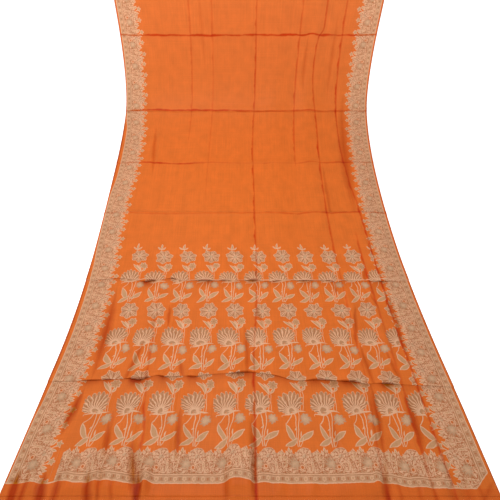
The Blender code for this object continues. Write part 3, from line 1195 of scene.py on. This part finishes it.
# The border repeats by units. Its height is measured inwards from its outer edge
UNIT = CELL_WIDTH
UNIT_START = -37.0
ORNAMENT = UNIT / 4
ORNAMENT_SHIFT = 200.0
ORNAMENT_MIDDLE = 10.6
TICKS = 8.0
STAR_PETALS = 6
STAR_RADIUS = 6.2
STAR_NOTCH = 2.2
BARS = (-10.5, 10.5)
BAR_REACH = 4.5
BAR_HALF = 1.1
BAND_HEIGHT = 22.0
BAND_LINES = (
    # middle, half width
    (1.4, 1.5), (4.8, 0.6), (15.4, 0.7), (20.2, 1.3),
)
SCALLOPS = (
    # along the unit, height of the ground
    (-37, 70), (-33, 74), (-27, 77), (-21, 73), (-14, 69), (-9, 73), (-3, 79), (5, 83), (11, 84),
    (18, 83), (25, 78), (31, 71), (36, 74), (42, 77), (47, 73), (50.5, 70),
)
VINE_HEIGHT = 29.0
VINE_SWING = 1.2
VINE_HALF = 0.28

VINE = (
    (-37, 24, -30, 64, 4.5, 3.0),
    (-24, 22, -6, 30, 2.6, 1.5),
    (-30, 30, -22, 34, 2.2, 0.0),
    (-2, 60, -12, 74, 3.0, 1.5),
    (24, 25, 12, 44, 3.6, 2.0),
    (26, 26, 26, 54, 4.2, -1.5),
    (28, 24, 40, 42, 3.6, -2.0),
    (45, 24, 50, 44, 2.8, 1.0),
    (43, 34, 43, 52, 1.0, 0.0, 5.0),
    (-27, 60, -27, 86, 4.6, 0.0),
    (-26, 62, -20, 80, 3.0, -1.0),
    (-28, 62, -35, 78, 3.0, 1.0),
    (42, 48, 34, 74, 4.2, 2.0),
    (44, 48, 51, 74, 4.2, -2.0),
    (43, 47, 43, 81, 5.0, 0.0),
)

OUTLIERS = (
    (20, 74, 32, 88, 1.2, -2.0, 5.0),
    (30, 72, 47, 84, 4.4, -1.0),
    (24, 74, 18, 92, 3.8, 1.0),
    (-17, 64, -20, 84, 3.8, 1.0),
    (-14, 64, -7, 84, 1.2, 2.0, 5.0),
)
BLOSSOMS = ((35, 92), (-6, 88))
BLOSSOM_RADIUS = 10.5
BLOSSOM_NOTCH = 5.0
BLOSSOM_PETALS = 5
RING_SIZE = 13.0
BLOT_SIZE = (11.0, 11.0)
SOFT_FLOWER = ((-15.0, 45.0), 14.0)
BORDER_FLOWER = ((11.0, 62.0), 21.0, 10, 0.22)
EYE = (3.0, 37.0)
EYE_RADIUS = 6.5
EYE_RING = 4.5


def paint_filigree(canvas, spot, field):
    """Fine curls over the ground of the border: rings round scattered points, and dark gaps."""
    turns = (spot.rings(RING_SIZE) * 2.2).fraction()
    canvas = canvas.painted((turns * 1.6 + -1.0).least(field), "gap")
    blots = (spot.noise(*BLOT_SIZE) * 5.5).fraction()
    return canvas.painted((0.5 - abs(blots + -0.5) * 2.6).least(field), "curl")


def paint_outliers(canvas, spot):
    """Leaves and small blossoms that stand out from the border."""
    canvas = paint_rows(canvas, spot, OUTLIERS)
    for centre in BLOSSOMS:
        far, wave = star(spot, centre, BLOSSOM_PETALS, 0.3)
        canvas = canvas.painted(petals(far, wave, BLOSSOM_RADIUS, BLOSSOM_NOTCH), "leaf")
    return canvas


def paint_ornaments(canvas, spot):
    """The narrow band: small stars at a steady pitch, bars between them, and pale lines."""
    height = spot.up(1.0 / INK_REACH)
    ticks = abs((spot.right(TICKS / ORNAMENT).fraction() + -0.5) * 2.0) + -0.45
    canvas = canvas.painted((2.1 - abs(height - 2.4)).least(ticks), "mesh")
    along = spot.right(plus=ORNAMENT_SHIFT) % ORNAMENT
    local = spot.joined(along - ORNAMENT / 2, spot.up(plus=-ORNAMENT_MIDDLE))
    far, wave = star(local, (0.0, 0.0), STAR_PETALS)
    canvas = canvas.painted(petals(far, wave, STAR_RADIUS, STAR_NOTCH), "leaf")
    for bar in BARS:
        depth = lens(local, (bar, -BAR_REACH), (bar, BAR_REACH), BAR_HALF)
        canvas = canvas.painted(depth, "gap")
    for middle, half in BAND_LINES:
        canvas = canvas.painted(half / INK_REACH - abs(height - middle / INK_REACH), "line")
    return canvas


def paint_border(canvas, spot):
    """The border over one unit: ground, vine, flowers, curls, then the narrow band below."""
    height = spot.up(1.0 / INK_REACH)
    share = spot.right(1.0 / UNIT, -UNIT_START / UNIT)
    ground = (share.graph(SCALLOPS, 1.0 / INK_REACH) - height).least(height)
    canvas = canvas.painted(ground, "ground")
    field = (height - BAND_HEIGHT / INK_REACH).least(ground)
    vine = (share * (2.0 * math.pi)).sine().times_plus(VINE_SWING, VINE_HEIGHT / INK_REACH)
    canvas = canvas.painted(VINE_HALF - abs(height - vine), "line")
    canvas = paint_rows(canvas, spot, VINE)
    canvas = paint_round_flower(canvas, spot, *BORDER_FLOWER)
    canvas = paint_filigree(canvas, spot, field)
    canvas = paint_fluff(canvas, spot, *SOFT_FLOWER)
    far = spot.distance(EYE)
    canvas = canvas.painted(disc(far, EYE_RADIUS), "speck")
    ring = abs(far.times_plus(1.0 / INK_REACH, -EYE_RING / INK_REACH))
    canvas = canvas.painted(0.3 - ring, "line")
    return paint_ornaments(canvas, spot)


# Where the print lies on the flat cloth, in mm
COLUMN_ZERO = -52.0
CELL_LEFT = -46.5
LEFT_COLUMNS = 4
LAST_COLUMN = 468.0
FIRST_STEMS = 114.0
ROWS = 3
SELVEDGE = 8.0
END_LINE = 34.0
END_LEFT = -459.0
END_RIGHT = 476.0
CORNER = 471.0
BORDER_DEPTH = 88.0
END_SQUEEZE = 1.05
CUT_CORNER = (521.0, 34.0)
CUT_SLOPE = 0.80
CUT_REACH = 42.0
CUT_HALF = 1.3
LINE_MIDDLE = 1.4
LINE_HALF = 1.6

# At the left the border's distance from the edge changes, and the silk beside it is darker: painted
# shade over the outer half of the plain silk, at both edges
STRIP = (
    # length along the cloth, distance from the edge, in mm
    (0, 4), (120, 4), (230, 9), (400, 14), (560, 15), (760, 13), (900, 6), (1020, 5), (1160, 7),
    (1350, 18), (1540, 15), (1660, 4), (1900, 7), (4572, 8),
)
EDGE_SHADE_TINT = (0.60, 0.30, 0.04, 1.0)
EDGE_SHADE = 0.7
EDGE_FADE = 0.12
# Painted shade: the field is drawn duller and darker further along the cloth, where it sweeps up and
# hangs
FIELD_SHADE = (
    # length along the cloth in mm, share of the painted shade
    (0, 0.0), (1000, 0.0), (1500, 0.12), (2300, 0.55), (4572, 0.6),
)
REVERSE_FADE = 0.5


def paint_plants(canvas, spot, fray):
    """Three rows of plants with round flowers above them, and small buds over the last row."""
    up = spot.up(plus=-FIRST_STEMS)
    right = spot.right(plus=-COLUMN_ZERO - CELL_LEFT) % CELL_WIDTH
    cell = spot.joined(right + CELL_LEFT, up % CELL_HEIGHT)
    printed = paint_cell(canvas, cell, fray)
    middle = ROWS * CELL_HEIGHT / 2
    inside = middle - abs(up - middle)
    printed = canvas.mixed(inside.clamped(), printed)
    top = spot.joined(right + CELL_LEFT, up - (ROWS - 1) * CELL_HEIGHT)
    printed = paint_rows(printed, top, TOP_BUDS)
    first_left = COLUMN_ZERO + CELL_LEFT - LEFT_COLUMNS * CELL_WIDTH
    from_left = spot.right(plus=-first_left)
    across = from_left.least((LAST_COLUMN - first_left) - from_left)
    return canvas.mixed(across.clamped(), printed)


def paint_edges(canvas, spot):
    """The border along both sides and the near end, which meet in the corners."""
    right = spot.right()
    from_middle = abs(right)
    share = spot.up(1.0 / STRIP[-1][0]).clamped()
    strip = (share.graph(STRIP) + -SELVEDGE) * (right * -1.0).clamped()
    edge = HALF_WIDTH * MM - from_middle
    from_side = edge - SELVEDGE - strip
    from_end = spot.up(plus=-END_LINE)
    at_end = (BORDER_DEPTH - from_end).least(CORNER - from_middle).clamped()
    along_side = spot.up()
    along_end = spot.right(plus=-COLUMN_ZERO)
    along = at_end.times_plus(along_end - along_side, along_side)
    along = (along - UNIT_START) % UNIT + UNIT_START
    inward = at_end.times_plus(from_end * END_SQUEEZE - from_side, from_side)
    border = spot.joined(along, inward)
    printed = paint_border(canvas, border)
    printed = paint_outliers(printed, border).mixed(at_end, printed)
    end_middle = (END_LEFT + END_RIGHT) / 2
    on_end = (END_RIGHT - END_LEFT) / 2 - abs(spot.right(plus=-end_middle))
    corner = spot.dot((-CUT_SLOPE, 1.0, CUT_SLOPE * CUT_CORNER[0] - CUT_CORNER[1]))
    covered = on_end.most(1.0 - at_end).least(from_end).least(corner).clamped()
    canvas = canvas.mixed(covered, printed)
    # painted shade over the outer half of the plain silk beside each border
    canvas = canvas.darkened(((edge + from_side) * -EDGE_FADE).clamped() * EDGE_SHADE, EDGE_SHADE_TINT)
    cut_end = (CUT_CORNER[0] + CUT_REACH, CUT_CORNER[1] + CUT_REACH * CUT_SLOPE)
    canvas = canvas.painted(lens(spot, CUT_CORNER, cut_end, CUT_HALF, blunt=8.0), "line")
    canvas = canvas.painted((from_end * -1.0).clamped(), "band")
    off = abs(spot.up(1.0 / INK_REACH, -(END_LINE + LINE_MIDDLE) / INK_REACH))
    line = (LINE_HALF / INK_REACH - off).least(CUT_CORNER[0] - right)
    return canvas.painted(line, "line")


def lip_line(tuck):
    """Tables for a tuck's lip: the last length of the print that shows before it, and its shade."""
    across = np.linspace(-HALF_WIDTH, HALF_WIDTH, LIP_POINTS)
    lip = np.full_like(across, TUCKS[tuck][0])
    length = np.interp(lip - TUCK_SEAM, UNFOLD_PLACE, UNFOLD_LENGTH)
    shade = LIP_SHADE * smooth((HALF_WIDTH - np.abs(across)) / LIP_SOFTNESS)
    for middle, half, rise in LIP_PUFFS[tuck]:
        shade += POCKET_SHADE * rise * hump(across - middle, half)
    return tuple(zip(across, drawn_length(across, length, lip))), tuple(zip(across, shade))


def paint_lip(canvas, spot, tuck, wander):
    """The shade in front of a lip, deepest under it and where it stands up from the cloth."""
    line, shade = lip_line(tuck)
    share = spot.right(1.0 / MM / CLOTH_WIDTH, 0.5)
    off = spot.up() - share.graph(line, MM)
    first = LIP_SHADOW[0][0]
    span = LIP_SHADOW[-1][0] - first
    near = off.times_plus(1.0 / span, -first / span).clamped().graph(LIP_SHADOW)
    deep = (near * share.graph(shade)).times_plus(wander, 0.0).clamped()
    return canvas.darkened(deep, POCKET_TINT)


def paint_creases(canvas, spot, start, end):
    """Painted shade in creases, valleys and before the lips, and a painted highlight with wear on the
    second fold, from a start to an end of the cloth.
    """
    wander = spot.noise(*WANDER_SIZE, FINE).times_plus(*WANDER_STRENGTH)
    loose = spot.moved(spot.noise(*WANDER_SIZE, FINE, "Color"), WANDER)
    across = loose.right()
    along = loose.up()
    # painted shade along each crease
    for index, table in enumerate(CREASES_ACROSS):
        if start < table[0][1] < end:
            group = crease_group(f"crease across {index}", table)
            canvas = canvas.darkened(across.grouped(group, along, wander), CREASE_SHADE_TINT)
    for index, table in enumerate(CREASES_ALONG):
        if table[0][0] < end and table[-1][0] > start:
            group = crease_group(f"crease along {index}", table)
            canvas = canvas.darkened(along.grouped(group, across, wander), CREASE_SHADE_TINT)
    # painted highlight, with wear, along the second fold's crest
    if start < TUCKS[-1][0] < end:
        fold = sum(STARTS[-1]) + 1.5 * TUCK_TURN
        off = abs(spot.up(1.0 / INK_REACH, -fold * MM / INK_REACH))
        canvas = canvas.painted((WORN_HIGHLIGHT_HALF / INK_REACH - off) * wander, "worn_highlight")
    for tuck, place in enumerate(TUCKS):
        if start < place[0] < end:
            canvas = paint_lip(canvas, spot, tuck, wander)
    # painted shade in each valley, darker where the valley is deeper
    for *ends, half, bow, deep in VALLEYS * MM:
        if start < ends[1] / MM < end:
            side = 1.0 if ends[3] > ends[1] else -1.0
            wide = half * VALLEY_WIDTH
            reach = wide / (deep * VALLEY_INK)
            dip = lens(loose, ends[:2], ends[2:], wide, bow * side, reach=reach)
            canvas = canvas.darkened(dip, VALLEY_SHADE_TINT)
    return canvas


def weave(canvas, spot, shader):
    """Uneven threads: faint streaks both ways and a soft mottle in colour, and a fine bump."""
    links = canvas.tree.links
    warp = spot.noise(*WARP_SIZE, FINE)
    weft = spot.noise(*WEFT_SIZE, FINE)
    mottle = spot.noise(*MOTTLE_SIZE, FINE)
    tone = (warp * WARP_TONE + weft * WEFT_TONE + mottle * MOTTLE_TONE) + TONE_MIDDLE
    node = canvas.add_node("VectorMath", canvas, operation="SCALE")
    canvas.plug(node, "Scale", tone)
    links.new(node.outputs[0], shader.inputs["Base Color"])
    height = warp + weft + spot.noise(*BUMP_SIZE, FINE) * BUMP_SHARE
    bump = canvas.add_node("Bump")
    bump.inputs["Strength"].default_value = BUMP_STRENGTH
    bump.inputs["Distance"].default_value = BUMP_DISTANCE
    canvas.plug(bump, "Height", height)
    links.new(bump.outputs[0], shader.inputs["Normal"])


def plain_material(name, colour, roughness, specular=0.5):
    """A material of one colour, and its shader."""
    material = bpy.data.materials.new(name)
    material.use_nodes = True
    shader = material.node_tree.nodes["Principled BSDF"]
    shader.inputs["Base Color"].default_value = colour
    shader.inputs["Roughness"].default_value = roughness
    shader.inputs["Specular IOR Level"].default_value = specular
    return material, shader


def plain_canvas(tree, colour):
    """A canvas of one colour."""
    dye = tree.nodes.new("ShaderNodeRGB")
    dye.outputs[0].default_value = colour
    return Canvas(tree, dye.outputs[0])


def silk(name, start, end):
    """Dyed silk with the print between a start and an end, drawn from the cloth's flat layout."""
    material, shader = plain_material(name, linear(FIELD), SILK_ROUGHNESS, SILK_SPECULAR)
    tree = material.node_tree
    layout = tree.nodes.new("ShaderNodeUVMap")
    layout.uv_map = "cloth"
    flat = Spot(tree, layout.outputs[0])
    spot = flat.vector_math("MULTIPLY_ADD", flat, (MM, MM, 0.0), (0.0, 0.0, 1.0))
    # painted shade: the field turns duller and darker along the cloth
    plain_field, shaded_field = (plain_canvas(tree, linear(colour)) for colour in (FIELD, SHADED_FIELD))
    share = spot.up(1.0 / FIELD_SHADE[-1][0]).clamped()
    canvas = plain_field.mixed(share.graph(FIELD_SHADE), shaded_field)
    drawn = spot.moved(spot.jitter(SHAKE_SIZE), SHAKE)
    if start == 0.0:        # the plants stand on the near end alone
        loose = drawn.moved(spot.jitter(SWAY_SIZE), SWAY)
        canvas = paint_plants(canvas, loose, spot.jitter(FRAY_SIZE))
    canvas = paint_edges(canvas, drawn)
    side = tree.nodes.new("ShaderNodeAttribute")
    side.attribute_name = "reverse"
    canvas = canvas.mixed(Wire(tree, side.outputs["Fac"]) * REVERSE_FADE, plain_field)
    canvas = paint_creases(canvas, spot, start, end)
    weave(canvas, spot, shader)
    return material


def grained_material(name, colour, roughness, specular, grain):
    """A material of one colour under grain: a function that darkens a canvas by the spot in mm."""
    material, shader = plain_material(name, linear(colour), roughness, specular)
    tree = material.node_tree
    place = tree.nodes.new("ShaderNodeTexCoord")
    start = Spot(tree, place.outputs["Object"])
    spot = start.vector_math("MULTIPLY", start, (MM, MM, MM))
    canvas = grain(plain_canvas(tree, linear(colour)), spot)
    tree.links.new(canvas.socket, shader.inputs["Base Color"])
    return material


def thread_twist(canvas, spot):
    """Twisted silk thread: fine darker turns."""
    return canvas.darkened(spot.noise(*TWIST_SIZE).clamped(), TWIST_TINT)


def wood_grain(canvas, spot):
    """Satin wood: long grain streaks, and darker growth lines and fine pores along the pole."""
    growth = (spot.noise(*GROWTH_SIZE, FINE) * GROWTH_LINES).fraction()
    canvas = canvas.darkened(growth * GROWTH_SHARE, GROWTH_TINT)
    pores = (spot.noise(*PORE_SIZE, FINE) * 4.0 + -2.1).clamped()
    return canvas.darkened(pores * PORE_SHARE, PORE_TINT)


def make_cloth():
    """Seven sheets of silk, each with its wall closed, and a hem at each end."""
    floor_end = crease_end(FLOOR_CREASE)
    sweep_end = crease_end(SWEEP_CREASE)
    rail_start = settled_length(RAIL_START) - RAIL_SEAM
    rail_end = settled_length(RAIL_END) + RAIL_SEAM
    printed = silk("printed_silk", 0.0, floor_end)
    bordered = silk("bordered_silk", floor_end, CLOTH_LENGTH)
    hems = make_hems(printed, bordered)
    stretches = (
        # node, end, row step, column step in mm, silk, slot, how it is held, what it rests on
        ("pallu_near", STARTS[0][0] - TUCK_SEAM, 3.5, 3.5, printed, "printed_silk", "laid", ()),
        ("pallu_far", STARTS[1][0] - TUCK_SEAM, 5, 4.5, printed, "printed_silk", "laid", ()),
        ("field_floor", floor_end, 5, 4.5, printed, "field_silk", "laid", ()),
        ("field_sweep", sweep_end, 6, 4.5, bordered, "field_silk", "hung", ()),
        ("field_front", rail_start, 8, 6, bordered, "field_silk", "hung", ("rail",)),
        ("field_over_rail", rail_end, 3, 9, bordered, "field_silk", "hung", ("rail",)),
        ("field_back", CLOTH_LENGTH - HEM_DEPTH, 10, 8, bordered, "field_silk", "hung", ("rail",)),
    )
    start = HEM_DEPTH
    for name, end, row_step, column_step, material, slot, held, rests_on in stretches:
        low = start + SILK_GAP
        high = end - SILK_GAP
        rows = rows_of(low, high, row_step / MM)
        mesh = shell(name + "_silk", rows, column_step / MM, SILK - WALL / 2)
        piece = add_piece(name + "_silk", mesh, material, name)
        high - low
        start = end


def rolled(rows):
    """How far a rolled hem stands up: over its depth by half a sine wave to the power of 0.6."""
    share = (rows - rows[0]) / (rows[-1] - rows[0])
    return SILK + HEM_ROLL * np.sin(math.pi * share) ** 0.6 - WALL / 2


def round_angles(sides):
    """Angles once round a tube, without the last one, which is the first again."""
    return np.linspace(0.0, 2.0 * math.pi, sides + 1)[:-1]


def stitches(name, length, outward):
    """A row of small slanting stitches along a hem's inner edge, as one mesh of short tubes.

    Each tube runs from its start to its end over the cloth, and sags at both ends into it.
    """
    count = int(CLOTH_WIDTH / STITCH_PITCH)
    middle = np.linspace(-HALF_WIDTH + STITCH_PITCH, HALF_WIDTH - STITCH_PITCH, count)
    along = np.linspace(-0.5, 0.5, STITCH_STEPS + 1)
    column, step, angle = np.meshgrid(middle, along, round_angles(STITCH_SIDES), indexing="ij")
    rise = outward + STITCH_RADIUS * (np.cos(angle) + 2.0 * np.cos(math.pi * step) - 1.0)
    across = column + STITCH_LEAN * step + STITCH_RADIUS * np.sin(angle)
    points = cloth_points(across, length + STITCH_LENGTH * step, rise).reshape(-1, 3)
    return mesh_from_arrays(name, points, tube_faces(column.shape))


def make_hems(printed, bordered):
    """The rolled hem at each end and its stitches, by the stretch that each one ends."""
    thread = grained_material("hem_thread", THREAD, 0.8, 0.1, thread_twist)
    far_start = CLOTH_LENGTH - HEM_DEPTH
    ends = (
        # node, stretch, silk, start, end, where the stitches lie
        ("near_hem", "pallu_near", printed, 0.0, HEM_DEPTH, HEM_DEPTH - STITCH_INSET),
        ("far_hem", "field_back", bordered, far_start, CLOTH_LENGTH, far_start + STITCH_INSET),
    )
    pieces = {}
    for node, stretch, cloth, start, end, seam in ends:
        rows = np.linspace(start + SILK_GAP, end - SILK_GAP, HEM_STEPS + 1)
        mesh = shell(node + "_silk", rows, HEM_COLUMN, rolled(rows)[:, None])
        hem = add_piece(node + "_silk", mesh, cloth, node)
        mesh = stitches(node + "_stitches", seam, float(np.interp(seam, rows, rolled(rows))))
        sewn = add_piece(node + "_stitches", mesh, thread, node)
        pieces[stretch] = [hem, sewn]
    return pieces


def make_pole():
    """A turned pole: its radius follows its length, drawn in to a rounded edge at each end."""
    half_turn = np.linspace(0.0, math.pi, POLE_STEPS + 1)
    share = np.concatenate(([0.0], 0.5 - 0.5 * np.cos(half_turn), [1.0]))
    x = (share - 0.5) * RAIL_LENGTH
    end = np.minimum(share, 1.0 - share) * RAIL_LENGTH
    radius = RAIL_RADIUS - POLE_EDGE * (1.0 - np.clip(end / POLE_EDGE, 0.0, 1.0)) ** 2
    radius[[0, -1]] = POLE_POINT
    place, angle = np.meshgrid(np.arange(x.size), round_angles(POLE_SIDES), indexing="ij")
    across = radius[place]
    points = np.stack((x[place], across * np.sin(angle), across * np.cos(angle)), axis=-1)
    mesh = mesh_from_arrays("pole", points.reshape(-1, 3), tube_faces(place.shape)[:, ::-1])
    wood = grained_material("pole_wood", WOOD, 0.42, 0.5, wood_grain)
    add_piece("pole", mesh, wood, "rail")


def make_stage():
    """A wide pale floor under the cloth, a white world and two soft lights."""
    level = -RAIL_HEIGHT - FLOOR_DROP
    bpy.ops.mesh.primitive_plane_add(size=FLOOR_SIZE, location=(0.0, 0.0, level))
    floor = bpy.context.object
    floor.name = "floor"
    pale, shader = plain_material("pale_floor", FLOOR_WHITE, 0.9)
    shader.inputs["Emission Color"].default_value = WHITE
    shader.inputs["Emission Strength"].default_value = FLOOR_GLOW
    floor.data.materials.append(pale)
    world = bpy.data.worlds.new("studio")
    bpy.context.scene.world = world
    world.use_nodes = True
    background = world.node_tree.nodes["Background"]
    background.inputs["Color"].default_value = WHITE
    background.inputs["Strength"].default_value = WORLD_GLOW
    lights = (
        # name, place, aims at, size, power, spread in degrees
        ("overhead", (-0.45, -0.95, 0.15), (0.0, -1.0, -1.7), 0.6, 14.0, 180.0),
        ("front", (0.0, -2.3, 0.1), (0.0, -0.6, -1.50), 0.8, 0.5, 60.0),
    )
    for name, place, target, size, power, spread in lights:
        data = bpy.data.lights.new(name, "AREA")
        data.size = size
        data.energy = power
        data.spread = math.radians(spread)
        lamp = add_object(name, data)
        lamp.location = place
        x, y, z = np.array(target) - np.array(place)
        lamp.rotation_euler = (math.atan2(math.hypot(x, y), -z), 0.0, math.atan2(-x, y))


def make_camera():
    """The camera, at the photo's angle and place."""
    data = bpy.data.cameras.new("camera")
    data.sensor_width = SENSOR
    data.lens = CAMERA_LENS
    camera = add_object("camera", data)
    camera.location = (0.0, CAMERA_Y, -RAIL_HEIGHT + CAMERA_HEIGHT)
    camera.rotation_euler = (math.pi / 2 - CAMERA_PITCH, 0.0, 0.0)
    bpy.context.scene.camera = camera


make_cloth()
make_pole()
make_stage()
make_camera()
bpy.context.scene.view_settings.view_transform = "Standard"
